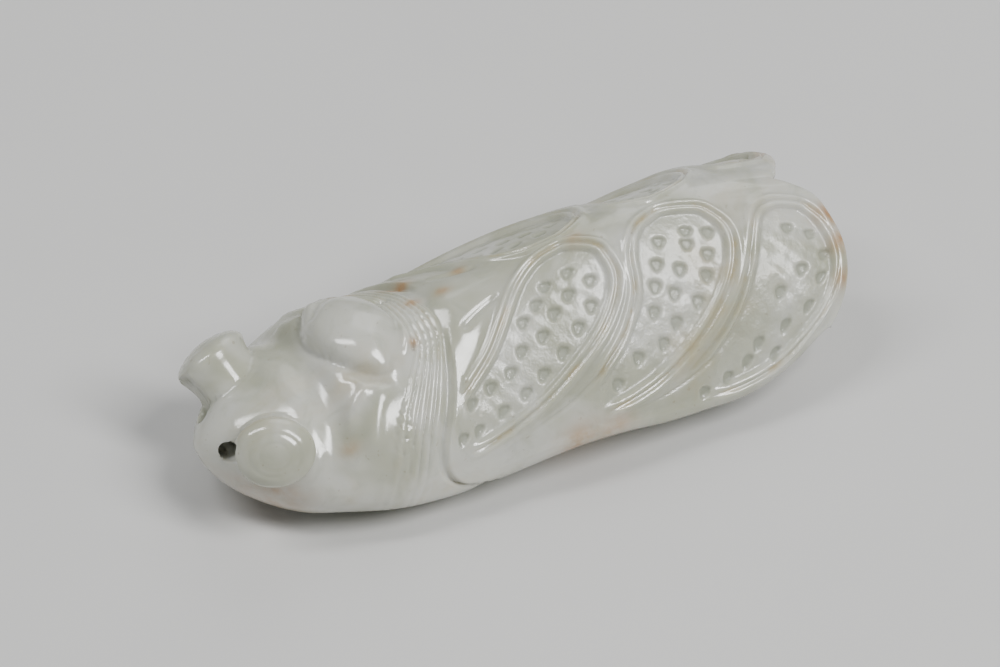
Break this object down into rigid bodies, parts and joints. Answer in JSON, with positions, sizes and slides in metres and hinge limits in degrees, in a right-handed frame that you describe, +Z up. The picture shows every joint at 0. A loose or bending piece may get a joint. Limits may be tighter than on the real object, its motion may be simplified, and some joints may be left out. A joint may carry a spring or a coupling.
{
  "type": "jade cricket carving",
  "caption": "Pale jade insect carved in the round, with button eyes, a ringed collar, folded wings in comma-shaped cells and a cord hole through the nose.",
  "frame": {"origin": "on the ground under the middle of the carving, where the flat of its belly rests", "axes": "+Y from the head to the wing tips, +Z up, +X to the insect's left"},
  "size_m": [0.03, 0.0696, 0.0199],
  "materials": {
    "jade": "polished"
  },
  "bodies": {
    "root": {"cricket_carving": "jade"}
  },
  "joints": []
}
